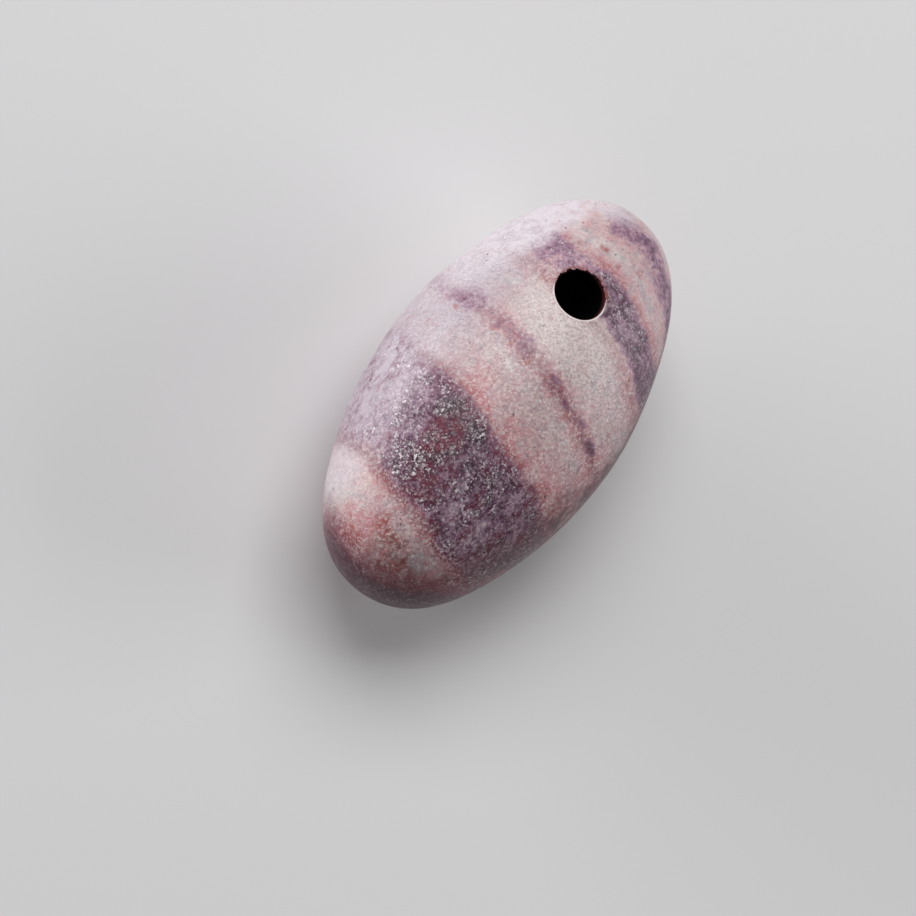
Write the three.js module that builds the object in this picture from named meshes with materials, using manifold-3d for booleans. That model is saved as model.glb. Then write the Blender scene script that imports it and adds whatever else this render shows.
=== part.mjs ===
// Shiva lingam stone: a river cobble of banded sandstone, ground and tumbled to an ovoid and
// drilled through near one end so that a cord can carry it.  It is one piece of stone.
//
// Millimetres, +Z up.  The stone lies on its small worn flat, with its length along X and the
// drilled end at +X.  The origin is on the surface that it lies on, under its middle.

import * as THREE from 'three';
import { mergeVertices } from 'three/addons/utils/BufferGeometryUtils.js';
import Module from 'manifold-3d';

const wasm = await Module();
wasm.setup();

// ---- driving dimensions, in millimetres -------------------------------------------------------

const LENGTH = 25.0;        // tip to tip
const WIDTH = 13.6;         // across the middle, lying down
const GIRTH_HEIGHT = 12.5;  // top to bottom across the middle, before the flat was worn
const FLAT_DEPTH = 0.25;    // how much the flat takes off the underside

// A tumbled stone isn't a true ellipsoid: its middle and its shoulders stand a little proud, and
// its tips are a little blunt.  This is how far it swells and shrinks about the ellipsoid.
const SWELL = 0.008;

const HOLE_DIAMETER = 2.75; // a drill of 2.5 mm, opened by its own wobble
const HOLE_ALONG = 5.5;     // from the middle of the stone towards the drilled end
const HOLE_ASIDE = 0.7;     // from the centre line: it was drilled by hand

// ---- how finely the round shapes are cut into flats -------------------------------------------

const FACETS_AROUND = 80;
const FACETS_ALONG = 50;
const HOLE_FACETS = 48;

// ---- stone ------------------------------------------------------------------------------------

const STONE_FINISH = new THREE.MeshStandardMaterial({
  name: 'tumbled_sandstone',
  color: '#9b858a',
  roughness: 0.45,
  metalness: 0,
});

// How far the stone reaches in a direction at this angle from its +X tip, as a share of the
// ellipsoid: least at the tips and between middle and shoulder, most at the middle and shoulder.
function reach(angleFromTip) {
  return 1 - SWELL * Math.cos(6 * angleFromTip);
}

function ovoidGeometry() {
  const halfLength = LENGTH / 2 / reach(0);
  const halfWidth = WIDTH / 2 / reach(Math.PI / 2);
  const halfHeight = GIRTH_HEIGHT / 2 / reach(Math.PI / 2);

  // The sphere's poles are turned to the two tips, so that its rows follow the stone's length.
  const ovoid = new THREE.SphereGeometry(1, FACETS_AROUND, FACETS_ALONG);
  ovoid.rotateZ(-Math.PI / 2);

  const point = new THREE.Vector3();
  const positions = ovoid.getAttribute('position');
  for (let i = 0; i < positions.count; i += 1) {
    point.fromBufferAttribute(positions, i).normalize();
    point.multiplyScalar(reach(Math.acos(THREE.MathUtils.clamp(point.x, -1, 1))));
    positions.setXYZ(i, point.x * halfLength, point.y * halfWidth, point.z * halfHeight);
  }

  ovoid.translate(0, 0, GIRTH_HEIGHT / 2 - FLAT_DEPTH);
  return ovoid;
}

function drillGeometry() {
  const drill = new THREE.CylinderGeometry(
    HOLE_DIAMETER / 2, HOLE_DIAMETER / 2, 2 * GIRTH_HEIGHT, HOLE_FACETS,
  );
  drill.rotateX(Math.PI / 2);
  drill.translate(HOLE_ALONG, HOLE_ASIDE, GIRTH_HEIGHT / 2);
  return drill;
}

// Everything under the surface that the stone lies on: worn away, it leaves the flat.
function wornAwayGeometry() {
  const wornAway = new THREE.BoxGeometry(2 * LENGTH, 2 * WIDTH, GIRTH_HEIGHT);
  wornAway.translate(0, 0, -GIRTH_HEIGHT / 2);
  return wornAway;
}

// ---- three.js geometry to a solid and back -----------------------------------------------------

function toSolid(geometry) {
  const positionsOnly = geometry.clone();
  positionsOnly.deleteAttribute('normal');
  positionsOnly.deleteAttribute('uv');
  const merged = mergeVertices(positionsOnly, 1e-4);
  return new wasm.Manifold(new wasm.Mesh({
    numProp: 3,
    vertProperties: new Float32Array(merged.getAttribute('position').array),
    triVerts: new Uint32Array(merged.index.array),
  }));
}

function toGeometry(solid) {
  const mesh = solid.getMesh();
  const geometry = new THREE.BufferGeometry();
  geometry.setAttribute('position', new THREE.BufferAttribute(mesh.vertProperties, 3));
  geometry.setIndex(new THREE.BufferAttribute(mesh.triVerts, 1));
  geometry.computeVertexNormals();
  return geometry;
}

function stone() {
  const drilled = toSolid(ovoidGeometry()).subtract(toSolid(drillGeometry()));
  const worn = drilled.subtract(toSolid(wornAwayGeometry()));
  const mesh = new THREE.Mesh(toGeometry(worn), STONE_FINISH);
  mesh.name = 'stone';
  return mesh;
}

const lingam = new THREE.Group();
lingam.add(stone());

export default lingam;
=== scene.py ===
# %% [markdown]
# # A shiva lingam stone
# A shiva lingam is a cobble of banded sandstone from a river bed, ground to an ovoid, tumbled to
# a satin shine and, when it is meant to be worn, drilled through near one end.  It is a single
# piece of stone, so this lesson dresses a single solid, which has the true size and the true hole.
# The stone made here takes its place: the same ovoid, with the chipped rim, the small unevenness
# of a hand-ground stone, and the colours of its layers.

# %% Load the frame
import math

import bpy
from mathutils import Matrix, Vector


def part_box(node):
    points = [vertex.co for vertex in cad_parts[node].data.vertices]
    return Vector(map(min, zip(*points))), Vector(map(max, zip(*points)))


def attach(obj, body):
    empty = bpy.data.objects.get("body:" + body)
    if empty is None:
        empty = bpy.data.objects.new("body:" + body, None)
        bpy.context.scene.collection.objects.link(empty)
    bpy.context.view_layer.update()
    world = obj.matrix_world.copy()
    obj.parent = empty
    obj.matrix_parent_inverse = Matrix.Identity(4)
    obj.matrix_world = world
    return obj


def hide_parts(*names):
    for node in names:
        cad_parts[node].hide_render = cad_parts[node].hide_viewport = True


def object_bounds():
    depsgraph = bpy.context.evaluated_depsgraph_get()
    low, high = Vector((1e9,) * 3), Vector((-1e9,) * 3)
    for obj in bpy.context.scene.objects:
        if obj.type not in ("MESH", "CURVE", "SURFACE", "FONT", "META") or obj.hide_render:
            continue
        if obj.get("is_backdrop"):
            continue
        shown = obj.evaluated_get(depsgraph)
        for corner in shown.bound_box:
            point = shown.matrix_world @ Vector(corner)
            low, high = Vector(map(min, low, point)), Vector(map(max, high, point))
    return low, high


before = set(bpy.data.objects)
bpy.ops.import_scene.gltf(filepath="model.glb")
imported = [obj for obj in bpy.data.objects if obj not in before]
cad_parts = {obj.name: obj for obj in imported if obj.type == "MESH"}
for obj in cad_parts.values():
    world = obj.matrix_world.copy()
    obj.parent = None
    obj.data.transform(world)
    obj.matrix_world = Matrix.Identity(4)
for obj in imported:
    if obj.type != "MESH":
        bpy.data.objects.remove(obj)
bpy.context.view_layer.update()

# %% [markdown]
# ## Sizes
# Everything is in metres, as in the frame.  The length and the width are read from the solid.
# What the box doesn't show, such as the hole and the flat that the stone lies on, is named here
# with the value that the solid was made with.  The drilled end points to +X.  The long side towards
# -Y, which comes lower in the picture, is called the near side, and the other one the far side.

# %% The stone's sizes
MM = 0.001

low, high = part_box("stone")
LENGTH = high.x - low.x
WIDTH = high.y - low.y
FLAT_DEPTH = 0.25 * MM                      # what the small flat takes off the underside
GIRTH_HEIGHT = high.z - low.z + FLAT_DEPTH
SWELL = 0.008                               # middle and shoulders stand proud of an ellipsoid
SWELL_WAVES = 6                             # counted once round, from tip to tip and back

HOLE_DIAMETER = 2.75 * MM
HOLE_ALONG = 5.5 * MM                       # from the middle towards the drilled end
HOLE_ASIDE = 0.7 * MM                       # off the centre line, towards the far side

GRAIN = 0.10 * MM                           # a grain of the sand that the stone is made of
MIDDLE = Vector((0, 0, GIRTH_HEIGHT / 2 - FLAT_DEPTH))

print("length, width, height in mm:", [round(v / MM, 2) for v in (LENGTH, WIDTH, high.z - low.z)])

# %% [markdown]
# ## Camera
# The camera looks down on the stone through a long lens, from the side of the undrilled end.  It
# is turned about its own axis until the stone's length climbs to the upper right.  It is built
# from three directions, back, right and up, which are the columns of its matrix.

# %% Camera
CAMERA_ELEVATION = math.radians(70.6)
CAMERA_AZIMUTH = math.radians(154.6)        # measured from +X, anticlockwise seen from above
LENGTH_CLIMBS = math.radians(53.7)          # the angle of the stone's length in the picture
CAMERA_DISTANCE = 260 * MM
PICTURE_WIDTH = 47.5 * MM                   # what the picture takes in at the stone's distance
STONE_RIGHT_OF_CENTRE = 2.1 * MM
STONE_ABOVE_CENTRE = 2.9 * MM

back = Vector((
    math.cos(CAMERA_ELEVATION) * math.cos(CAMERA_AZIMUTH),
    math.cos(CAMERA_ELEVATION) * math.sin(CAMERA_AZIMUTH),
    math.sin(CAMERA_ELEVATION),
))
length_seen = (Vector((1, 0, 0)) - back * back.x).normalized()
right = Matrix.Rotation(-LENGTH_CLIMBS, 3, back) @ length_seen
up = back.cross(right)


def placed(name, data):
    """A new object with this data, in the scene."""
    made = bpy.data.objects.new(name, data)
    bpy.context.scene.collection.objects.link(made)
    return made


camera = placed("camera", bpy.data.cameras.new("camera"))
bpy.context.scene.camera = camera
camera.data.sensor_width = 36
camera.data.lens = camera.data.sensor_width * CAMERA_DISTANCE / PICTURE_WIDTH
camera.data.clip_start = 10 * MM
camera.data.clip_end = 2

aim = MIDDLE - right * STONE_RIGHT_OF_CENTRE - up * STONE_ABOVE_CENTRE
turn = Matrix((right, up, back)).transposed()
camera.matrix_world = Matrix.Translation(aim + back * CAMERA_DISTANCE) @ turn.to_4x4()
print("lens in mm:", round(camera.data.lens, 1))

# %% [markdown]
# ## One helper for every node
# Shapes and finishes are both node trees here.  One small function adds a node, sets it up and
# fills its sockets: a node or a socket is linked, anything else is written into the socket.  Kinds
# of node that come up often get short names.

# %% Node helper
def add(tree, kind, sockets=(), **settings):
    made = tree.nodes.new(kind)
    for name, value in settings.items():
        setattr(made, name, value)
    if isinstance(sockets, dict):
        filled = [(made.inputs[name], value) for name, value in sockets.items()]
    else:
        filled = zip([socket for socket in made.inputs if socket.enabled], sockets)
    for socket, value in filled:
        if isinstance(value, bpy.types.Node):
            value = next(output for output in value.outputs if output.enabled)
        if isinstance(value, bpy.types.NodeSocket):
            tree.links.new(value, socket)
        elif value is not None:
            socket.default_value = value
    return made


MATH = "ShaderNodeMath"
VECTOR = "ShaderNodeVectorMath"
RANGE = "ShaderNodeMapRange"
NOISE = "ShaderNodeTexNoise"
JOIN = "ShaderNodeCombineXYZ"
SPLIT = "ShaderNodeSeparateXYZ"

# %% [markdown]
# ## The shape of the stone
# A sphere with a hole cut in it has bad faces just where the eye goes, at the rim of the hole.
# So the skin is wrapped the other way: a flat grid is rolled up round the axis of the hole, like
# a doughnut.  Each of its columns starts in the middle of the bore, climbs the wall, turns over
# the rim, runs round the outside of the stone to the other mouth and climbs back.  The rows crowd
# together at the rim, where the chips are, and no pole is left anywhere.
#
# The rule for a column is short once the stone is squeezed into a ball.  Every upright slice of a
# ball is a circle, so a column is an arc of a circle that stops where the drill wall stands.  The
# slice is stretched back afterwards by the stone's three half-sizes.

# %% The grid that becomes the skin
COLUMNS = 380                               # round the hole's axis
OUTSIDE_ROWS = 214                          # mouth to mouth over the outside
WALL_ROWS = 34                              # mouth to mouth down the bore
WALL_SHARE = WALL_ROWS / OUTSIDE_ROWS
CROWDING = 0.45                             # columns crowd towards the undrilled end
MOUTH_CROWDING = 2                          # and rows of the wall towards its mouths: a power


def flat_grid(tree):
    """The grid, the bearing of each column, and the row, which is -1 and 1 at the mouths."""
    grid = add(tree, "GeometryNodeMeshGrid", {
        "Size X": 1, "Size Y": 1,
        "Vertices X": COLUMNS + 1, "Vertices Y": OUTSIDE_ROWS + WALL_ROWS + 1,
    })
    place = add(tree, SPLIT, [add(tree, "GeometryNodeInputPosition")])
    once_round = add(tree, MATH, [place.outputs["X"], math.tau], operation="MULTIPLY")
    crowd = add(tree, MATH, [
        add(tree, MATH, [once_round], operation="SINE"), CROWDING, once_round,
    ], operation="MULTIPLY_ADD")
    row = add(tree, MATH, [place.outputs["Y"], 2 * (1 + WALL_SHARE)], operation="MULTIPLY")
    return grid, crowd, row


# %% The arc of one column
def ball_column(tree, size, half_sizes, outward, row):
    """The place on the ball, how far it is from the rim, and its height on the ball."""
    hole = add(tree, JOIN, [size["Hole Along"], size["Hole Aside"], 0])
    ball_hole = add(tree, VECTOR, [hole, half_sizes], operation="DIVIDE")
    ball_outward = add(tree, VECTOR, [outward, half_sizes], operation="DIVIDE")
    squeeze = add(tree, VECTOR, [ball_outward], operation="LENGTH").outputs["Value"]
    heading = add(tree, VECTOR, [ball_outward], operation="NORMALIZE")

    # The middle of the slice's circle, and how far from it the hole's axis stands.
    axis_at = add(tree, VECTOR, [ball_hole, heading], operation="DOT_PRODUCT").outputs["Value"]
    step = add(tree, VECTOR, [heading, axis_at], operation="SCALE")
    centre = add(tree, VECTOR, [ball_hole, step], operation="SUBTRACT")
    inset = add(tree, VECTOR, [centre, centre], operation="DOT_PRODUCT").outputs["Value"]
    cut = add(tree, MATH, [1, inset], operation="SUBTRACT")
    radius = add(tree, MATH, [cut], operation="SQRT")

    # The drill wall stands this far from the middle, and meets the circle at this angle.
    drill_radius = add(tree, MATH, [size["Hole Diameter"], 2], operation="DIVIDE")
    wall_at = add(tree, MATH, [drill_radius, squeeze, axis_at], operation="MULTIPLY_ADD")
    reach = add(tree, MATH, [wall_at, radius], operation="DIVIDE")
    mouth_angle = add(tree, MATH, [reach], operation="ARCCOSINE")

    # Over the outside the row swings from one mouth to the other; past it, the row goes down.
    swing = add(tree, MATH, [
        add(tree, MATH, [
            add(tree, "ShaderNodeClamp", [row, -1, 1]), math.pi / 2,
        ], operation="MULTIPLY"),
    ], operation="SINE")
    angle = add(tree, MATH, [swing, mouth_angle], operation="MULTIPLY")
    down = add(tree, MATH, [
        add(tree, RANGE, [
            add(tree, MATH, [row], operation="ABSOLUTE"), 1, 1 + WALL_SHARE, 0, 1,
        ]), MOUTH_CROWDING,
    ], operation="POWER")
    along = add(tree, MATH, [
        radius, add(tree, MATH, [angle], operation="COSINE"),
    ], operation="MULTIPLY")
    mouth_height = add(tree, MATH, [
        radius, add(tree, MATH, [angle], operation="SINE"),
    ], operation="MULTIPLY")
    height = add(tree, MATH, [
        mouth_height, add(tree, MATH, [1, down], operation="SUBTRACT"),
    ], operation="MULTIPLY")

    sideways = add(tree, VECTOR, [
        add(tree, VECTOR, [heading, along], operation="SCALE"), centre,
    ], operation="ADD")
    on_ball = add(tree, VECTOR, [
        sideways, add(tree, JOIN, [0, 0, height]),
    ], operation="ADD")

    # How far the point is from the rim, over the outside and down the wall together.
    from_wall = add(tree, MATH, [
        add(tree, MATH, [along, wall_at], operation="SUBTRACT"), squeeze,
    ], operation="DIVIDE")
    half_height = add(tree, SPLIT, [half_sizes]).outputs["Z"]
    wall_depth = add(tree, MATH, [
        add(tree, MATH, [
            add(tree, MATH, [mouth_height, down], operation="MULTIPLY"),
        ], operation="ABSOLUTE"), half_height,
    ], operation="MULTIPLY")
    from_rim = add(tree, MATH, [from_wall, wall_depth], operation="ADD")
    return on_ball, from_rim, height


# %% Stretching the ball back to the ovoid
def half_sizes_of(tree, size):
    """The half-sizes that the ball is stretched by, less what the swelling adds to them."""
    at_tips = add(tree, MATH, [1, size["Swell"]], operation="SUBTRACT")
    at_middle = add(tree, MATH, [1, size["Swell"]], operation="ADD")
    halves = []
    for name, reach in (("Length", at_tips), ("Width", at_middle), ("Girth Height", at_middle)):
        half = add(tree, MATH, [size[name], 2], operation="DIVIDE")
        halves.append(add(tree, MATH, [half, reach], operation="DIVIDE"))
    return add(tree, JOIN, halves)


def stretched(tree, size, half_sizes, on_ball):
    """The place on the stone: the ball stretched to an ellipsoid, and swollen a little."""
    from_middle = add(tree, VECTOR, [on_ball], operation="NORMALIZE")
    from_tip = add(tree, MATH, [
        add(tree, SPLIT, [from_middle]).outputs["X"],
    ], operation="ARCCOSINE")
    wave = add(tree, MATH, [
        add(tree, MATH, [from_tip, SWELL_WAVES], operation="MULTIPLY"),
    ], operation="COSINE")
    reach = add(tree, MATH, [
        1, add(tree, MATH, [wave, size["Swell"]], operation="MULTIPLY"),
    ], operation="SUBTRACT")
    stone = add(tree, VECTOR, [on_ball, half_sizes], operation="MULTIPLY")
    return add(tree, VECTOR, [stone, reach], operation="SCALE")


# %% [markdown]
# ## What wear adds
# The drill leaves a rim that is crisp where the bit went in cleanly and bitten where sand grains
# broke out of it, here on the side towards the tip and a little to the far side.  The wheel and
# the tumbler leave the outside a little uneven, which shows only as a wandering of the soft
# highlight.  All of it is real geometry: a push outwards and inwards near the rim, and a slow noise
# over the whole skin.

# %% Worn and chipped rim
RIM_WEAR = 0.07 * MM                        # the rim is rounded over this distance
CHIP_REACH = 0.18 * MM                      # and bitten away over this one, where it is chipped
CHIP_LENGTH = 0.30 * MM
CHIPPED_WAY = (0.95, 0.3, 0)                # towards the tip, and a little to the far side
CHIPPED_ARC = (0.0, 0.5)                    # how nearly a place lies that way: no chips, all chips
CHIP_NOISE = (0.46, 0.62)                   # noise at a chip's edge and at its deepest
RIM_BITE = 0.5                              # the edge draws back by this share of the two


def rim_wear(tree, size, outward, from_rim, height):
    """The push that rounds the rim all round and bites pieces out of one side of it."""
    side = add(tree, MATH, [height], operation="SIGN")
    ring = add(tree, VECTOR, [
        add(tree, VECTOR, [outward, HOLE_DIAMETER / 2], operation="SCALE"),
        add(tree, JOIN, [0, 0, side]),
    ], operation="ADD")
    broken = add(tree, NOISE, {
        "Vector": ring, "Scale": 1 / CHIP_LENGTH, "Detail": 2, "Roughness": 0.6,
    })
    bitten = add(tree, RANGE, [
        add(tree, VECTOR, [outward, CHIPPED_WAY], operation="DOT_PRODUCT").outputs["Value"],
        *CHIPPED_ARC, 0, 1,
    ])
    chip = add(tree, RANGE, [broken.outputs["Fac"], *CHIP_NOISE, 0, 1])
    chip_here = add(tree, MATH, [
        add(tree, MATH, [chip, bitten], operation="MULTIPLY"), size["Chip Reach"],
    ], operation="MULTIPLY")
    reach = add(tree, MATH, [chip_here, size["Rim Wear"]], operation="ADD")
    near = add(tree, MATH, [
        1, add(tree, MATH, [from_rim, reach], operation="DIVIDE"),
    ], operation="SUBTRACT", use_clamp=True)
    bite = add(tree, MATH, [
        add(tree, MATH, [near, 2], operation="POWER"),
        add(tree, MATH, [reach, RIM_BITE], operation="MULTIPLY"),
    ], operation="MULTIPLY")
    inwards = add(tree, JOIN, [
        0, 0, add(tree, MATH, [side, -1], operation="MULTIPLY"),
    ])
    way = add(tree, VECTOR, [outward, inwards], operation="ADD")
    return add(tree, VECTOR, [way, bite], operation="SCALE")


# %% Unevenness of the ground surface
WANDER_LENGTH = 6.5 * MM                    # from one rise of the surface to the next
WANDER_HEIGHT = 0.16 * MM
BRUISE_LENGTH = 1.1 * MM
BRUISE_HEIGHT = 0.012 * MM


def unevenness(tree, size, half_sizes, on_ball, on_stone):
    """The push along the normal that makes the ground surface wander."""
    normal = add(tree, VECTOR, [
        add(tree, VECTOR, [on_ball, half_sizes], operation="DIVIDE"),
    ], operation="NORMALIZE")
    slow = add(tree, NOISE, {
        "Vector": on_stone, "Scale": 1 / WANDER_LENGTH, "Detail": 0,
    })
    fast = add(tree, NOISE, {
        "Vector": on_stone, "Scale": 1 / BRUISE_LENGTH, "Detail": 2,
    })
    rise = add(tree, MATH, [
        add(tree, MATH, [slow.outputs["Fac"], 0.5], operation="SUBTRACT"), size["Wander Height"],
    ], operation="MULTIPLY")
    bruise = add(tree, MATH, [
        add(tree, MATH, [fast.outputs["Fac"], 0.5], operation="SUBTRACT"), size["Bruise Height"],
    ], operation="MULTIPLY")
    return add(tree, VECTOR, [
        normal, add(tree, MATH, [rise, bruise], operation="ADD"),
    ], operation="SCALE")


# %% [markdown]
# ## The tree
# The tree puts those rules together, wears the small flat under the stone with a soft maximum,
# and sews the edges of the grid to each other.  The rows that become the bore are marked with the
# material of its wall while the grid is still flat, because there a row is easy to tell from the
# rest.  The tree's sizes are inputs, so it would make another stone as well.

# %% The stone's tree
FLAT_EDGE = 0.12 * MM                       # the flat's edge is worn round over this distance
SEAM = 0.0004 * MM                          # points nearer than this are one

STONE_SIZES = {
    "Length": LENGTH,
    "Width": WIDTH,
    "Girth Height": GIRTH_HEIGHT,
    "Swell": SWELL,
    "Flat Depth": FLAT_DEPTH,
    "Hole Diameter": HOLE_DIAMETER,
    "Hole Along": HOLE_ALONG,
    "Hole Aside": HOLE_ASIDE,
    "Rim Wear": RIM_WEAR,
    "Chip Reach": CHIP_REACH,
    "Wander Height": WANDER_HEIGHT,
    "Bruise Height": BRUISE_HEIGHT,
}


def drilled_stone_tree():
    """The tree that makes the skin of the stone, with its two finishes."""
    tree = bpy.data.node_groups.new("drilled stone", "GeometryNodeTree")
    tree.interface.new_socket("Geometry", in_out="OUTPUT", socket_type="NodeSocketGeometry")
    for name in STONE_SIZES:
        tree.interface.new_socket(name, in_out="INPUT", socket_type="NodeSocketFloat")
    for name in ("Outside", "Wall"):
        tree.interface.new_socket(name, in_out="INPUT", socket_type="NodeSocketMaterial")
    size = add(tree, "NodeGroupInput").outputs

    grid, bearing, row = flat_grid(tree)
    outward = add(tree, JOIN, [
        add(tree, MATH, [bearing], operation="COSINE"),
        add(tree, MATH, [bearing], operation="SINE"), 0,
    ])
    half_sizes = half_sizes_of(tree, size)
    on_ball, from_rim, height = ball_column(tree, size, half_sizes, outward, row)
    on_stone = stretched(tree, size, half_sizes, on_ball)
    worn = add(tree, VECTOR, [
        on_stone, rim_wear(tree, size, outward, from_rim, height),
    ], operation="ADD")
    uneven = add(tree, SPLIT, [add(tree, VECTOR, [
        worn, unevenness(tree, size, half_sizes, on_ball, on_stone),
    ], operation="ADD")])

    lift = add(tree, MATH, [
        add(tree, MATH, [size["Girth Height"], 2], operation="DIVIDE"), size["Flat Depth"],
    ], operation="SUBTRACT")
    lifted = add(tree, MATH, [uneven.outputs["Z"], lift], operation="ADD")
    resting = add(tree, MATH, [lifted, 0, FLAT_EDGE], operation="SMOOTH_MAX")
    walled = add(tree, "GeometryNodeSetMaterial", {
        "Geometry": grid.outputs["Mesh"], "Material": size["Wall"],
        "Selection": add(tree, MATH, [
            add(tree, MATH, [row], operation="ABSOLUTE"), 1,
        ], operation="GREATER_THAN"),
    })
    skin = add(tree, "GeometryNodeSetPosition", {
        "Geometry": walled,
        "Position": add(tree, JOIN, [
            uneven.outputs["X"], uneven.outputs["Y"], resting,
        ]),
    })
    sewn = add(tree, "GeometryNodeMergeByDistance", {"Geometry": skin, "Distance": SEAM})
    smooth = add(tree, "GeometryNodeSetShadeSmooth", {"Geometry": sewn})
    plain = add(tree, "GeometryNodeRealizeInstances", {"Geometry": smooth})
    wall = add(tree, "GeometryNodeMaterialSelection", {"Material": size["Wall"]})
    finished = add(tree, "GeometryNodeSetMaterial", {
        "Geometry": plain, "Material": size["Outside"],
        "Selection": add(tree, "FunctionNodeBooleanMath", [wall], operation="NOT"),
    })
    add(tree, "NodeGroupOutput", [finished])
    return tree


# %% [markdown]
# ## The colours of the stone
# The stone is sandstone: grains of clear and milky quartz, under a fifth of a millimetre across,
# set in a fine cement.  Iron in the cement gives the colour.  Where it is lean the stone is a pale
# grey that leans to cream or to rose, where it is rich it is plum, and along the edges of the rich
# layers it has rusted to brick red.  The layers are sheets that run right through the stone, so
# they are worked out from the place in the stone and not painted on its skin, and they meet
# themselves on every side.

# %% Colours
def linear(code):
    """The colour with this sRGB code, in linear light."""
    channels = [int(code[i:i + 2], 16) / 255 for i in (1, 3, 5)]
    straight = [c / 12.92 if c <= 0.04045 else ((c + 0.055) / 1.055) ** 2.4 for c in channels]
    return (*straight, 1)


PALE_CEMENT = linear("#cdc1c0")
CREAM_CEMENT = linear("#c8bcb3")
BLEACHED_CEMENT = linear("#dccdca")
COOL_CEMENT = linear("#aaa3a9")
# painted sheen colours for the far edge
PAINTED_SHEEN_GREY = linear("#b4a8b2")
PAINTED_SHEEN_WHITE = linear("#d9d1d8")
ROSE_CEMENT = linear("#c0929c")
RUSTY_CEMENT = linear("#c98389")
BRICK_STAIN = linear("#a4524f")
OCHRE_STAIN = linear("#80504c")
# painted sheen colour for the broad layer's far edge
PAINTED_SHEEN_LILAC = linear("#bbafbb")
MAUVE_CEMENT = linear("#926f88")
PLUM_CEMENT = linear("#5c354e")
DEEP_CEMENT = linear("#2e1226")
# painted shade: the maroon of the underside and the near side
PAINTED_SHADE_MAROON = linear("#6a2e2f")
CRIMSON_CEMENT = linear("#661e36")
WINE_STAIN = linear("#742c40")
MILKY_QUARTZ = linear("#e6dfe0")
PALE_SAND = linear("#e8dedf")
DARK_SAND = linear("#7d6064")
SMOKY_QUARTZ = linear("#4a3c3c")
# painted highlight for the whole part of the rim
RIM_PAINTED_HIGHLIGHT = linear("#efe4e4")
CHIPPED_EDGE = linear("#84443f")
BORE_DUST = linear("#55201f")
# painted shade deep in the bore
BORE_PAINTED_SHADE = linear("#060507")

# %% [markdown]
# ## Small helpers for the finish
# Every pattern starts from a place in the stone in millimetres, so a length in a pattern is a
# length on the stone.  Noise pushes the place about before the layers are measured, which makes
# them wander; noise taken as it is makes clouds.  Colours go on as coats, one over the other.

# %% The place in the stone, clouds and coats
def place_in_stone(tree):
    """The place in the stone, in millimetres from its middle, as a vector socket."""
    here = add(tree, "ShaderNodeTexCoord").outputs["Object"]
    moved = add(tree, VECTOR, [here, tuple(MIDDLE)], operation="SUBTRACT")
    return add(tree, VECTOR, [moved, 1 / MM], operation="SCALE").outputs["Vector"]


def wavering(tree, place, length, swing):
    """The place, pushed about by noise of this length by up to half of this swing."""
    noise = add(tree, NOISE, {
        "Vector": place, "Scale": 1 / length, "Detail": 2, "Roughness": 0.55,
    })
    push = add(tree, VECTOR, [noise.outputs["Color"], (0.5, 0.5, 0.5)], operation="SUBTRACT")
    scaled = add(tree, VECTOR, [push, swing], operation="SCALE")
    return add(tree, VECTOR, [place, scaled], operation="ADD").outputs["Vector"]


def clouds(tree, place, length, least, most, start=0, end=1, shift=0):
    """Noise of this length, from the start where it is at its least to the end at its most."""
    noise = add(tree, NOISE, {
        "Vector": add(tree, VECTOR, [place, (shift, shift, shift)], operation="ADD"),
        "Scale": 1 / length, "Detail": 2, "Roughness": 0.6,
    })
    return add(tree, RANGE, [
        noise.outputs["Fac"], least, most, start, end,
    ], interpolation_type="SMOOTHSTEP")


def together(tree, operation, *parts):
    """The parts taken together one after the other: their product, their sum or the largest."""
    result = parts[0]
    for part in parts[1:]:
        result = add(tree, MATH, [result, part], operation=operation)
    return result


def coated(tree, ground, *coats):
    """The ground colour with coats over it, each of them an amount and a colour."""
    for amount, colour in coats:
        ground = add(tree, "ShaderNodeMix", [amount, ground, colour], data_type="RGBA")
    return ground


# %% [markdown]
# ## Layers and spots
# Each layer is a sheet.  It crosses the stone's centre line at a place along the length, it leans
# across the width, it bows, and it dips from top to bottom as the others do.  A point's distance
# from the sheet says how much of the layer it has.  What isn't a layer is a spot: an ellipsoid in
# the stone that is strongest in its middle.

# %% Distance from a sheet, the layers along it, and spots
DIP = 0.15                                  # how far the sheets slide along for each mm of depth
BASE_AT = 0.9                               # the painted shade of the underside ends this far above the middle
BASE_LEAN = 0.35                            # and rises this much for each mm to the near side
BASE_RISE = 0.16                            # and for each mm to the undrilled end


def from_sheet(tree, place, at, lean, bow=0.0):
    """How far, in mm along the stone, a place is beyond a sheet."""
    x, y, z = add(tree, SPLIT, [place]).outputs
    bent = add(tree, MATH, [y, bow, lean], operation="MULTIPLY_ADD")
    across = add(tree, MATH, [y, bent, x], operation="MULTIPLY_ADD")
    tilted = add(tree, MATH, [z, DIP, across], operation="MULTIPLY_ADD")
    return add(tree, MATH, [tilted, at], operation="SUBTRACT")


def from_base(tree, place):
    """How far, in mm, a place is above the sheet where the painted shade of the underside ends."""
    x, y, z = add(tree, SPLIT, [place]).outputs
    across = add(tree, MATH, [y, BASE_LEAN, z], operation="MULTIPLY_ADD")
    tilted = add(tree, MATH, [x, BASE_RISE, across], operation="MULTIPLY_ADD")
    return add(tree, MATH, [tilted, BASE_AT], operation="SUBTRACT")


def layer(tree, distance, start, end, edge, strength=1.0):
    """This strength between two distances from a sheet, fading to 0 over this edge."""
    begun = add(tree, RANGE, [
        distance, start - edge, start + edge, 0, strength,
    ], interpolation_type="SMOOTHSTEP")
    ended = add(tree, RANGE, [
        distance, end - edge, end + edge, 1, 0,
    ], interpolation_type="SMOOTHSTEP")
    return add(tree, MATH, [begun, ended], operation="MULTIPLY")


def layers(tree, far, spans):
    """A layer for each span: its sheet, its start, end and edge in mm, and its strength."""
    return [layer(tree, far[sheet], *span) for sheet, *span in spans]


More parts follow.
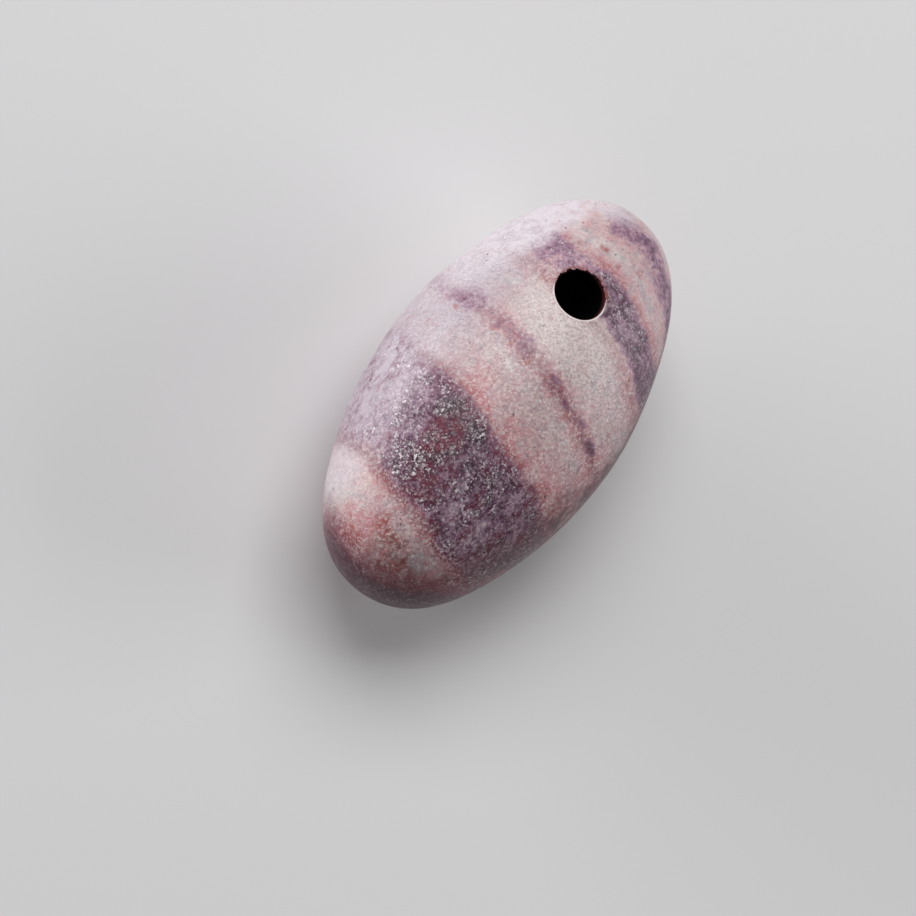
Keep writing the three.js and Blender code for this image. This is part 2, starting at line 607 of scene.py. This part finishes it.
def spot(tree, place, centre, half_sizes, strength=1.0):
    """This strength in the middle of an ellipsoid, fading to 0 at its edge."""
    offset = add(tree, VECTOR, [place, centre], operation="SUBTRACT")
    shrunk = add(tree, VECTOR, [offset, half_sizes], operation="DIVIDE")
    away = add(tree, VECTOR, [shrunk], operation="LENGTH").outputs["Value"]
    return add(tree, RANGE, [
        away, 1, 0.3, 0, strength,
    ], interpolation_type="SMOOTHSTEP")


def spots(tree, place, named):
    """A spot for each named row: its middle and half-sizes in mm, and its strength."""
    return [spot(tree, place, *where) for where in named.values()]


# %% [markdown]
# ## Where the layers lie
# Four layers of iron cross the stone: a mauve one at the drilled tip, a plum one through the hole,
# a thin one near the middle with dark knots in its near half, and a broad plum one over the third
# next to the undrilled tip.  That tip is maroon beyond a fifth sheet, partly its own crimson stain
# and partly painted shade.
#
# How rich the stone is in iron is one number, and mottling is added to that number before it is
# turned into colour.  So a layer's edge breaks up into grains and clouds, as a stain in sand does,
# and doesn't fade like paint.

# %% The sheets, and the places rich in iron
SHEETS = {
    "tip": {"at": 11.25, "lean": -0.10, "bow": 0.08},
    "hole": {"at": 7.5, "lean": -0.19, "bow": 0.027},
    "thin": {"at": 1.55, "lean": -0.28, "bow": 0.014},
    "broad": {"at": -5.4, "lean": -0.27},
    "end": {"at": -11.9, "lean": 0.16, "bow": -0.10},
}

IRON_SPOTS = {
    "near end of the thin layer": ((-0.5, -4.3, 4.6), (0.6, 0.9, 1.4), 0.7),
    "far end of the thin layer": ((2.0, 4.9, 4.0), (1.3, 1.2, 1.8), 0.42),
    "swelling of the thin layer": ((1.3, 1.7, 6.0), (1.1, 0.9, 1.4), 0.3),
}
ADDED_IRON = {
    "edge of the broad layer": ((-3.9, 1.9, 5.2), (1.8, 2.0, 3.0), 0.32),
    "middle of the broad layer": ((-6.4, 1.2, 5.2), (2.6, 1.5, 3.0), 0.16),
    "lean patch of the broad layer": ((-7.8, -1.6, 4.6), (1.7, 1.9, 3.0), -0.22),
    "first knot of the thin layer": ((0.7, -0.8, 6.2), (0.35, 0.45, 0.7), 0.35),
    "second knot of the thin layer": ((0.0, -1.9, 6.0), (0.35, 0.45, 0.7), 0.35),
    "third knot of the thin layer": ((0.0, -3.1, 5.5), (0.35, 0.45, 0.7), 0.35),
}


# %% How rich in iron the stone is
def iron_in(tree, place, far):
    """How rich a place is in iron: about 0 where the stone is lean, about 1 where it is plum."""
    y = add(tree, SPLIT, [place]).outputs["Y"]
    tip = together(
        tree, "MULTIPLY", layer(tree, far["tip"], -0.8, 0.7, 0.6, 0.56),
        add(tree, RANGE, [y, 2.5, 0.5, 0.1, 1]),
    )
    hole = together(
        tree, "MULTIPLY", layer(tree, far["hole"], -1.5, 0.7, 0.4),
        add(tree, RANGE, [y, 4.2, -1.5, 0.33, 0.76]),
    )
    thin_near_side = together(
        tree, "MULTIPLY", layer(tree, far["thin"], -0.1, 0.1, 0.4, 0.5),
        add(tree, RANGE, [y, 1.0, -3.5, 0.1, 1]), clouds(tree, place, 0.9, 0.32, 0.52, 0.4, 1.0),
    )
    thin_far_side = together(
        tree, "MULTIPLY", layer(tree, far["thin"], -0.4, 0.4, 0.7, 0.5),
        add(tree, RANGE, [y, -2.0, 0.5, 0.3, 1]), clouds(tree, place, 1.3, 0.34, 0.60, 0.1, 1.0),
    )
    broad = together(
        tree, "MULTIPLY", layer(tree, far["broad"], -2.8, 2.8, 0.45),
        add(tree, RANGE, [y, 5.2, 2.8, 0.40, 0.80]),
    )
    strongest = together(
        tree, "MAXIMUM", tip, hole, thin_near_side, thin_far_side, broad,
        *spots(tree, place, IRON_SPOTS),
    )
    steeped = together(tree, "ADD", strongest, *spots(tree, place, ADDED_IRON))
    mottling = together(tree, "ADD", *[
        clouds(tree, place, length, 0.3, 0.7, -swing, swing)
        for length, swing in ((1.3, 0.22), (0.45, 0.18), (0.18, 0.2))
    ])
    mottled_by = add(tree, MATH, [strongest, 0.9, 0.22], operation="MULTIPLY_ADD")
    return add(tree, MATH, [mottling, mottled_by, steeped], operation="MULTIPLY_ADD")


# %% [markdown]
# ## Rust
# Iron moves in wet stone, and where a rich layer meets a lean one it rusts.  So each layer has a
# wide rosy haze on both sides and a narrower brick red stain in it.  Crimson streaks run inside the
# broad layer and fill the undrilled tip, and wine red marks the very edges.

# %% The rusted places
HAZE_SPANS = (
    ("broad", -4.2, -2.0, 0.9, 0.7),
    ("hole", -2.5, 1.4, 0.5, 0.7),
    ("thin", -0.9, 0.9, 0.9, 0.8),
    ("tip", -1.2, 1.0, 0.6, 0.5),
)
HAZE_SPOTS = {
    "far side of the undrilled end": ((-10.6, 2.4, 2.2), (1.9, 2.0, 3.0), 1.2),
    "near side of the undrilled end": ((-10.2, -2.6, 2.8), (2.6, 2.6, 3.2), 1.2),
    "top of the undrilled end": ((-10.9, 0.2, 3.2), (1.8, 1.8, 2.4)),
    "near flank": ((-1.0, -5.4, 3.4), (2.5, 2.0, 2.0)),
    "beside the hole": ((7.0, 0.8, 5.0), (1.3, 1.6, 1.5)),
}
STAIN_SPANS = (
    ("broad", 2.4, 3.3, 0.6),
    ("broad", -3.4, -2.6, 0.4, 0.8),
    ("hole", 0.5, 1.2, 0.4, 0.5),
    ("hole", -2.3, -1.8, 0.35, 0.7),
    ("thin", -0.5, 0.4, 0.35, 0.6),
)
STAIN_SPOTS = {
    "far side of the undrilled end": ((-11.3, 2.8, 1.7), (0.9, 1.2, 1.8), 1.2),
    "top of the undrilled end": ((-10.0, 1.4, 3.7), (0.8, 1.6, 1.6)),
    "above the maroon tip": ((-11.2, -1.0, 2.8), (1.4, 2.2, 1.8), 0.8),
    "fleck beside the thin layer": ((2.1, -1.4, 6.0), (0.45, 0.4, 0.6)),
    "fleck beyond the hole": ((8.8, 0.8, 4.4), (0.4, 0.4, 0.6)),
}
CRIMSON_SPOTS = {
    "edge of the broad layer": ((-5.0, 2.1, 5.2), (2.0, 1.3, 3.0), 1.2),
    "middle of the broad layer": ((-7.2, 1.2, 5.0), (2.2, 1.2, 3.0)),
}
WINE_SPANS = (
    ("hole", 0.5, 1.1, 0.35, 0.2),
    ("hole", -2.2, -1.7, 0.35, 0.4),
    ("broad", 2.4, 3.1, 0.35, 0.55),
    ("broad", -3.3, -2.6, 0.35, 0.7),
    ("end", 0.1, 0.8, 0.35, 0.7),
)


# %% How rusted it is
def rust_in(tree, place, far):
    """The amounts of a wide rosy haze and of narrower stains: brick red, crimson and wine red."""
    y = add(tree, SPLIT, [place]).outputs["Y"]
    patches = clouds(tree, place, 1.25, 0.34, 0.60)
    grainy = clouds(tree, place, 0.26, 0.34, 0.58, 0.5, 1.0)
    wide_haze = together(
        tree, "MULTIPLY", layer(tree, far["broad"], 1.5, 4.8, 1.4, 1.1),
        add(tree, RANGE, [y, 4.5, 1.0, 0.4, 1]),
    )
    haze = together(
        tree, "MAXIMUM", wide_haze,
        *layers(tree, far, HAZE_SPANS), *spots(tree, place, HAZE_SPOTS),
    )
    stain = together(
        tree, "MAXIMUM", *layers(tree, far, STAIN_SPANS), *spots(tree, place, STAIN_SPOTS),
    )
    drawn_out = add(tree, VECTOR, [place, (0.5, 1.0, 1.0)], operation="MULTIPLY")
    streaks = together(
        tree, "MULTIPLY", layer(tree, far["broad"], -2.9, 2.9, 0.3, 0.8),
        clouds(tree, drawn_out, 1.1, 0.48, 0.62),
    )
    crimson = together(tree, "MAXIMUM", streaks, *spots(tree, place, CRIMSON_SPOTS))
    crimson_tip = together(
        tree, "MULTIPLY", layer(tree, far["end"], -3, 0.3, 0.3, 0.95),
        clouds(tree, place, 0.5, 0.28, 0.46, 0.55, 1.0),
    )
    thin_line = together(
        tree, "MULTIPLY", layer(tree, far["thin"], -0.3, 0.3, 0.6),
        clouds(tree, place, 0.8, 0.30, 0.55, 0.45, 1), add(tree, RANGE, [y, 3.2, -1.0, 0.45, 1.0]),
    )
    wine = together(tree, "MAXIMUM", thin_line, *layers(tree, far, WINE_SPANS))
    return (
        together(tree, "MULTIPLY", haze, grainy, add(tree, RANGE, [patches, 0, 1, 0.5, 1.05])),
        together(tree, "MULTIPLY", stain, patches, grainy),
        together(tree, "MAXIMUM", crimson_tip, together(
            tree, "MULTIPLY", crimson, clouds(tree, place, 0.55, 0.40, 0.58, 0.2, 1.0),
        )),
        together(tree, "MULTIPLY", wine, clouds(tree, place, 0.3, 0.34, 0.56, 0.45, 1.0, shift=7)),
    )


# %% [markdown]
# ## Sand grains
# A Voronoi pattern cuts the stone into cells of a grain's width, and gives each cell three random
# numbers.  Each of them makes one kind of grain, such as pale or dark ones, and says how much of
# that colour the grain has.  The distance is counted the square way, the cells are pushed about by
# a noise finer than themselves, and the milky ones are broken up by another, because broken quartz
# has corners and no two grains of it shine alike.

# %% Sand grains
def grains(tree, place, width):
    """The distance from the middle of each grain, and the grain's three random numbers."""
    cells = add(tree, "ShaderNodeTexVoronoi", {
        "Vector": wavering(tree, place, width * 0.6, width * 1.5),
        "Scale": 1 / width, "Randomness": 1.0,
    }, distance="CHEBYCHEV")
    chances = add(tree, "ShaderNodeSeparateColor", [cells.outputs["Color"]]).outputs
    return cells.outputs["Distance"], chances


def milky_grains(tree, place, width, rarity):
    """Pale grains of every brightness; the rarity says how few of them are bright."""
    distance, chances = grains(tree, place, width)
    whole = add(tree, RANGE, [distance, 0.70, 0.34, 0, 1])
    broken = clouds(tree, place, width * 0.8, 0.36, 0.60, 0.25, 1.15, shift=13)
    bright = add(tree, MATH, [chances[0], rarity], operation="POWER")
    return together(tree, "MULTIPLY", whole, broken, bright)


# %% [markdown]
# ## The rim and the wall of the hole
# The drill leaves two kinds of edge.  On the side away from the tip it is whole, and its worn edge
# gets a pale painted highlight, a thin line where the rounded rim catches the light.  Towards the
# tip, and a little to the far side, it is bitten, and the bites are brick red inside.  The wall
# itself was never tumbled, so it is a material of its own: dull, with maroon dust just under the
# rim, and painted shade further in, nearly black, where little light reaches down the bore.

# %% The rim's colours
def round_the_hole(tree, place):
    """How far a place is from the hole's wall, in mm, and how nearly it lies the chipped way."""
    from_axis = add(tree, VECTOR, [
        add(tree, VECTOR, [place, (HOLE_ALONG / MM, HOLE_ASIDE / MM, 0)], operation="SUBTRACT"),
        (1, 1, 0),
    ], operation="MULTIPLY")
    radius = add(tree, VECTOR, [from_axis], operation="LENGTH").outputs["Value"]
    out = add(tree, MATH, [radius, HOLE_DIAMETER / MM / 2], operation="SUBTRACT")
    heading = add(tree, VECTOR, [from_axis], operation="NORMALIZE")
    chipped_way = add(tree, VECTOR, [heading, CHIPPED_WAY], operation="DOT_PRODUCT")
    return out, chipped_way.outputs["Value"]


def painted_rim_highlight(tree, out, chipped_way):
    """The painted highlight on the whole part of the rim, on the side away from the chips."""
    whole = add(tree, RANGE, [chipped_way, 0.2, -0.3, 0, 0.9])
    near = add(tree, RANGE, [out, 0.15, 0.07, 0, 1])
    return together(tree, "MULTIPLY", whole, near)


def chipped_edge(tree, place, out, chipped_way):
    """The bitten part of the rim, where the stone breaks into brick red."""
    bitten = add(tree, RANGE, [chipped_way, -0.3, 0.2, 0, 1])
    near = add(tree, RANGE, [out, 0.26, 0.06, 0, 1])
    return together(tree, "MULTIPLY", bitten, near, clouds(tree, place, 0.25, 0.35, 0.55))


# %% The drilled wall
def drilled_sandstone():
    """Sandstone as the drill left it: rough and dull, with dust near the mouths and painted shade,
    nearly black, deeper in.
    """
    material = bpy.data.materials.new("drilled sandstone wall")
    material.use_nodes = True
    tree = material.node_tree
    tree.nodes.clear()
    place = place_in_stone(tree)
    height = add(tree, SPLIT, [place]).outputs["Z"]
    near_a_mouth = add(tree, RANGE, [
        add(tree, MATH, [height], operation="ABSOLUTE"), 4.8, 5.4, 0, 1,
    ])
    dusty = together(tree, "MULTIPLY", near_a_mouth, clouds(tree, place, 0.5, 0.3, 0.6, 0.5, 1))
    # Painted shade: nearly black down the bore, with the maroon only near the mouths.
    surface = add(tree, "ShaderNodeBsdfPrincipled", {
        "Base Color": coated(tree, BORE_PAINTED_SHADE, (dusty, BORE_DUST)),
        "Roughness": 0.9, "Specular IOR Level": 0.1,
    })
    add(tree, "ShaderNodeOutputMaterial", [surface])
    return material


# %% [markdown]
# ## The cement
# The colours go on in the order in which the stone got them.  First comes the lean cement: pale
# stone with creamy, rosy and cool clouds, and the rust.  It is rosier on the near side and bleached
# between the thin layer and the hole.  On the far side, and at the far edge of the undrilled end, a
# painted sheen of lilac grey and frosty white goes over it.

# %% Lean cement
BLEACHED_SPOT = ((3.6, 0.0, 5.6), (3.4, 4.2, 4.0), 0.8)
# A painted sheen at the far edge of the undrilled end.
SHEEN_SPOT_AT_UNDRILLED_END = ((-8.6, 5.0, 1.2), (2.8, 2.2, 3.0), 0.7)
OCHRE_SPOT = ((-11.1, 0.2, 3.2), (1.6, 1.8, 2.2))
COOL_SPOT = ((-10.6, -1.6, 3.0), (2.4, 2.8, 3.0))


def lean_cement(tree, place, bent, haze, stain):
    """The colour of the lean stone, with its clouds, its rust and a painted sheen on the far side.
    """
    x, y, _ = add(tree, SPLIT, [bent]).outputs
    near_side = add(tree, RANGE, [y, 0.5, -5.0, 0, 0.45])
    # Painted sheen: a lilac grey tint along the lit far side.
    far_side_sheen = together(
        tree, "MULTIPLY", add(tree, RANGE, [y, 2.6, 5.0, 0, 0.85]),
        add(tree, RANGE, [x, -8.5, -6.5, 0.1, 1]),
    )
    ochre = together(
        tree, "MULTIPLY", spot(tree, place, *OCHRE_SPOT), clouds(tree, place, 0.6, 0.35, 0.6),
    )
    cool = together(
        tree, "MULTIPLY", spot(tree, place, *COOL_SPOT),
        clouds(tree, place, 0.9, 0.48, 0.60, 0, 0.7, shift=59),
    )
    return coated(
        tree, PALE_CEMENT,
        (clouds(tree, place, 3.0, 0.42, 0.62, 0, 0.7), CREAM_CEMENT),
        (near_side, ROSE_CEMENT),
        (clouds(tree, place, 1.0, 0.46, 0.66, 0, 0.5, shift=5), ROSE_CEMENT),
        (clouds(tree, place, 0.4, 0.50, 0.62, 0, 0.5), ROSE_CEMENT),
        (clouds(tree, place, 0.55, 0.49, 0.61, 0, 0.75, shift=17), COOL_CEMENT),
        (haze, RUSTY_CEMENT),
        (stain, BRICK_STAIN),
        (far_side_sheen, PAINTED_SHEEN_GREY),
        (spot(tree, place, *BLEACHED_SPOT), BLEACHED_CEMENT),
        (spot(tree, place, *SHEEN_SPOT_AT_UNDRILLED_END), PAINTED_SHEEN_WHITE),
        (ochre, OCHRE_STAIN),
        (cool, COOL_CEMENT),
    )


# %% [markdown]
# Over it go the rich layers: mauve where the iron is weak, plum where it is strong, nearly black
# where it is strongest.  The undrilled tip is maroon, partly its own crimson stain and partly
# painted shade.  The underside and the near side get painted shade, a maroon that darkens towards
# the bottom and the near side.  Along the far edge a painted sheen lightens the stone: lilac on the
# broad layer and frosty white on the drilled end.

# %% Rich cement
# The painted sheen at the top of the drilled tip.
SHEEN_SPOT_AT_TIP = ((11.2, 1.6, 2.4), (1.4, 2.0, 2.0), 0.8)


def painted_underside_shade(tree, place, bent):
    """How much painted shade a place gets: a maroon on the underside and the near side that fades
    out on the far side.
    """
    y = add(tree, SPLIT, [bent]).outputs["Y"]
    return together(
        tree, "MULTIPLY",
        layer(tree, from_base(tree, wavering(tree, bent, 3.0, 3.0)), -20, 0.1, 1.6, 0.95),
        add(tree, RANGE, [y, 3.2, 1.0, 0.1, 1]),
        clouds(tree, place, 1.6, 0.3, 0.6, 0.7, 1.0),
        clouds(tree, place, 0.5, 0.38, 0.58, 0.6, 1.0),
    )


def painted_lilac_sheen(tree, place, bent, far):
    """How much painted lilac sheen the broad layer has at the far edge."""
    _, y, z = add(tree, SPLIT, [bent]).outputs
    return together(
        tree, "MULTIPLY", add(tree, RANGE, [y, 4.3, 6.0, 0, 1.0]),
        clouds(tree, place, 0.6, 0.34, 0.58, 0.2, 1.0), layer(tree, far["broad"], -3.2, 3.2, 0.8),
        add(tree, RANGE, [z, 0.2, 1.8, 0.4, 1.0]),
    )


def painted_white_sheen(tree, place, bent):
    """How much painted white sheen the drilled end has, at its tip and along the far edge."""
    x, y, _ = add(tree, SPLIT, [bent]).outputs
    slanting = add(tree, MATH, [x, 0.4, y], operation="MULTIPLY_ADD")
    sheen_places = together(
        tree, "MAXIMUM", spot(tree, place, *SHEEN_SPOT_AT_TIP),
        add(tree, RANGE, [slanting, 6.1, 6.9, 0, 0.9]),
    )
    return together(
        tree, "MULTIPLY", clouds(tree, place, 0.6, 0.3, 0.6, 0.5, 1.0),
        add(tree, RANGE, [x, 0.5, 6.0, 0, 1]), sheen_places,
    )


def rich_cement(tree, place, bent, far, lean, iron, under, crimson, wine):
    """The lean colour with the layers, the stains, the painted shade and the painted sheen over it.
    """
    y = add(tree, SPLIT, [bent]).outputs["Y"]
    # Painted shade: maroon on the underside, and nearly black low on the near side.
    darkest_painted_shade = together(tree, "MULTIPLY", under, add(tree, RANGE, [y, -2.5, -4.5, 0, 0.8]))
    return coated(
        tree, lean,
        (add(tree, RANGE, [iron, 0.16, 0.46, 0, 0.9]), MAUVE_CEMENT),
        (add(tree, RANGE, [iron, 0.46, 0.80, 0, 1]), PLUM_CEMENT),
        (add(tree, RANGE, [iron, 0.84, 1.16, 0, 1]), DEEP_CEMENT),
        (under, PAINTED_SHADE_MAROON),
        (darkest_painted_shade, DEEP_CEMENT),
        (crimson, CRIMSON_CEMENT),
        # Darker beyond the end sheet: partly the stone's colour, partly painted shade.
        (layer(tree, far["end"], -3, 0.1, 0.3, 0.6), DEEP_CEMENT),
        (wine, WINE_STAIN),
        # Painted sheen along the far edge.
        (painted_lilac_sheen(tree, place, bent, far), PAINTED_SHEEN_LILAC),
        (painted_white_sheen(tree, place, bent), PAINTED_SHEEN_WHITE),
    )


# %% [markdown]
# ## The sand in the cement
# Sand is set in all of it.  Pale and dark grains show where the stone is lean, with a few smoky and
# brick red ones.  In the rich layers the milky grains sparkle and black ones lie between them.
# They sparkle most in the broad layer.

# %% Sand
SPARKLING_SPANS = (
    ("broad", -3.3, 3.0, 0.5),
    ("hole", -1.3, 0.7, 0.5, 0.9),
    ("thin", -0.6, 0.6, 0.3, 0.25),
    ("end", -3, 1.5, 0.8, 0.45),
)
CROWDED_SPOT = ((-7.0, 3.0, 4.8), (2.4, 2.0, 3.0), 0.4)


def shown_milky(tree, place, bent, far, milky, stain_and_painted_shade, under, crimson):
    """How much of the milky grains shows, by how rich the stone is and how they crowd."""
    y = add(tree, SPLIT, [bent]).outputs["Y"]
    where = together(
        tree, "MAXIMUM", *layers(tree, far, SPARKLING_SPANS),
        add(tree, MATH, [under, 0.1], operation="MULTIPLY"),
    )
    sparkling = together(
        tree, "MULTIPLY", where, add(tree, RANGE, [stain_and_painted_shade, 0.2, 0.5, 0.1, 1]),
        add(tree, RANGE, [y, -5.0, -2.0, 0.5, 1]), add(tree, RANGE, [crimson, 0.2, 1, 1, 0.6]),
    )
    clustered = together(
        tree, "MULTIPLY", clouds(tree, place, 1.3, 0.34, 0.62, 0.5, 1.1),
        clouds(tree, place, 0.5, 0.36, 0.60, 0.4, 1.1, shift=23),
    )
    crowded = together(tree, "ADD", clustered, spot(tree, place, *CROWDED_SPOT))
    return together(tree, "MULTIPLY", milky, crowded, sparkling)


def sandy(tree, place, bent, cement, iron, stain_and_painted_shade):
    """The cement with pale, dark, black, smoky and brick red grains in it."""
    x, y, _ = add(tree, SPLIT, [bent]).outputs
    in_layer = add(tree, RANGE, [iron, 0.25, 0.6, 0.1, 1])
    off_layer = add(tree, RANGE, [stain_and_painted_shade, 0.15, 0.5, 1, 0.05])
    plainly = together(
        tree, "MULTIPLY", off_layer, add(tree, RANGE, [y, 1.5, 4.0, 1, 0.6]),
        add(tree, RANGE, [x, 5.0, 8.5, 1, 0.4]),
    )
    _, (pale, dark, black) = grains(tree, place, GRAIN / MM)
    smoky = clouds(tree, place, 0.3, 0.67, 0.76, 0, 0.9, shift=31)
    brick = clouds(tree, place, 0.6, 0.62, 0.78, 0, 0.6, shift=43)
    kinds = (
        (add(tree, RANGE, [pale, 0.4, 1, 0, 0.6]), plainly, PALE_SAND),
        (add(tree, RANGE, [dark, 0.4, 1, 0, 0.48]), plainly, DARK_SAND),
        (add(tree, RANGE, [black, 0.6, 1, 0, 0.4]), in_layer, DEEP_CEMENT),
        (smoky, off_layer, SMOKY_QUARTZ),
        (brick, off_layer, BRICK_STAIN),
    )
    return coated(tree, cement, *[
        (together(tree, "MULTIPLY", amount, where), colour) for amount, where, colour in kinds
    ])


# %% [markdown]
# ## The finish of the stone
# A river stone that was tumbled and rubbed is satin: a mineral gloss of moderate roughness, a
# little uneven, with a thin coat for the rubbed-in polish.  The milky grains are harder than the
# cement, so they stand a few thousandths of a millimetre proud of it.

# %% The finish of the stone
def tumbled_sandstone():
    """Banded sandstone, ground and tumbled to satin."""
    material = bpy.data.materials.new("tumbled banded sandstone")
    material.use_nodes = True
    tree = material.node_tree
    tree.nodes.clear()
    place = place_in_stone(tree)
    bent = wavering(tree, wavering(tree, place, 4.0, 1.1), 0.8, 0.35)
    far = {name: from_sheet(tree, bent, **sheet) for name, sheet in SHEETS.items()}

    haze, stain, crimson, wine = rust_in(tree, bent, far)
    iron = iron_in(tree, bent, far)
    # Painted shade on the underside and the near side.
    under = painted_underside_shade(tree, place, bent)
    # The iron, the crimson and the painted shade of the underside, taken together.
    stain_and_painted_shade = together(tree, "MAXIMUM", iron, under, crimson)
    lean = lean_cement(tree, place, bent, haze, stain)
    cement = rich_cement(tree, place, bent, far, lean, iron, under, crimson, wine)

    milky = together(
        tree, "MAXIMUM",
        milky_grains(tree, place, GRAIN / MM, 3),
        milky_grains(tree, place, 1.7 * GRAIN / MM, 9),
    )
    out, chipped_way = round_the_hole(tree, place)
    colour = coated(
        tree, sandy(tree, place, bent, cement, iron, stain_and_painted_shade),
        (shown_milky(tree, place, bent, far, milky, stain_and_painted_shade, under, crimson), MILKY_QUARTZ),
        (chipped_edge(tree, place, out, chipped_way), CHIPPED_EDGE),
        # Painted highlight: a pale line along the whole part of the rim.
        (painted_rim_highlight(tree, out, chipped_way), RIM_PAINTED_HIGHLIGHT),
    )

    polish = clouds(tree, place, 0.2, 0.3, 0.7, 0.36, 0.50)
    relief = add(tree, "ShaderNodeBump", {
        "Height": milky, "Distance": 0.006 * MM, "Strength": 0.5,
    })
    surface = add(tree, "ShaderNodeBsdfPrincipled", {
        "Base Color": colour, "Roughness": polish, "IOR": 1.54, "Specular IOR Level": 0.35,
        "Normal": relief, "Coat Weight": 0.1, "Coat Roughness": 0.4, "Coat IOR": 1.5,
    })
    add(tree, "ShaderNodeOutputMaterial", [surface])
    return material


# %% [markdown]
# ## Making the piece
# The tree runs in a modifier on an empty mesh.  Its result is copied out as a plain mesh, and the
# piece takes the place of the solid in the frame.

# %% The stone
def piece_from(tree, name, values):
    """What the tree makes with these inputs, as a plain mesh."""
    holder = placed(name + " holder", bpy.data.meshes.new(name + " holder"))
    modifier = holder.modifiers.new("shape", "NODES")
    modifier.node_group = tree
    for item in tree.interface.items_tree:
        if item.in_out == "INPUT":
            modifier[item.identifier] = values[item.name]
    evaluated = holder.evaluated_get(bpy.context.evaluated_depsgraph_get())
    mesh = bpy.data.meshes.new_from_object(evaluated)
    mesh.name = name
    if mesh.materials[0] is None:           # the tree leaves an empty slot ahead of the finishes
        mesh.materials.pop(index=0)
    piece = placed(name, mesh)
    bpy.data.objects.remove(holder)
    return piece


finishes = {"Outside": tumbled_sandstone(), "Wall": drilled_sandstone()}
stone = piece_from(drilled_stone_tree(), "tumbled_stone", {**STONE_SIZES, **finishes})
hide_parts("stone")
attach(stone, "root")
print("faces:", len(stone.data.polygons))
for index, material in enumerate(stone.data.materials):
    print(material.name, "faces:", sum(f.material_index == index for f in stone.data.polygons))

# %% [markdown]
# ## Floor and light
# The floor is plain and pale.  A little white light comes from all round, and the rest from three
# soft lamps: a window high above the upper side of the picture, a long low one beside the stone's
# far edge, which lays the satin sheen along it, and a weaker one that fills in from the right.

# %% Floor
FLOOR_HALF = 1.5
PALE_PAPER = linear("#e2e1e2")


def pale_floor():
    """A square of matt paper under the stone."""
    paper = bpy.data.materials.new("pale paper")
    paper.use_nodes = True
    shader = paper.node_tree.nodes["Principled BSDF"]
    shader.inputs["Base Color"].default_value = PALE_PAPER
    shader.inputs["Roughness"].default_value = 0.9
    mesh = bpy.data.meshes.new("floor")
    corners = [(x * FLOOR_HALF, y * FLOOR_HALF, 0) for x, y in ((-1, -1), (1, -1), (1, 1), (-1, 1))]
    mesh.from_pydata(corners, [], [(0, 1, 2, 3)])
    mesh.materials.append(paper)
    floor = placed("floor", mesh)
    floor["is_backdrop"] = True


pale_floor()

# %% Light
STUDIO_WHITE = linear("#fbfbff")
WORLD_STRENGTH = 0.08
LAMP_DISTANCE = 0.45


def soft_lamp(name, bearing, elevation, width, height, watts):
    """A lamp that faces the stone, its bearing counted anticlockwise from the picture's right."""
    level_right = Vector((right.x, right.y, 0)).normalized()
    level = Matrix.Rotation(math.radians(bearing), 3, "Z") @ level_right
    climb = math.radians(elevation)
    towards = level * math.cos(climb) + Vector((0, 0, math.sin(climb)))
    lamp = bpy.data.lights.new(name, "AREA")
    lamp.shape = "RECTANGLE"
    lamp.size = width
    lamp.size_y = height
    lamp.energy = watts
    holder = placed(name, lamp)
    holder.location = MIDDLE + towards * LAMP_DISTANCE
    holder.rotation_mode = "QUATERNION"
    holder.rotation_quaternion = towards.to_track_quat("Z", "Y")


world = bpy.data.worlds.new("studio")
bpy.context.scene.world = world
world.use_nodes = True
background = world.node_tree.nodes["Background"]
background.inputs["Color"].default_value = STUDIO_WHITE
background.inputs["Strength"].default_value = WORLD_STRENGTH

soft_lamp("window", bearing=92, elevation=60, width=0.40, height=0.30, watts=1.5)
soft_lamp("low window", bearing=150, elevation=8, width=0.40, height=0.10, watts=1.5)
soft_lamp("fill", bearing=0, elevation=22, width=0.30, height=0.20, watts=0.7)
bpy.context.scene.view_settings.view_transform = "Standard"
print("lamps:", [lamp.name for lamp in bpy.data.lights])

# %% [markdown]
# ## The size of the finished stone
# The box of the finished stone is printed.

# %% The size of the finished stone, and the end
low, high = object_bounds()
print("visual box in mm:", [round(side / MM, 2) for side in high - low])
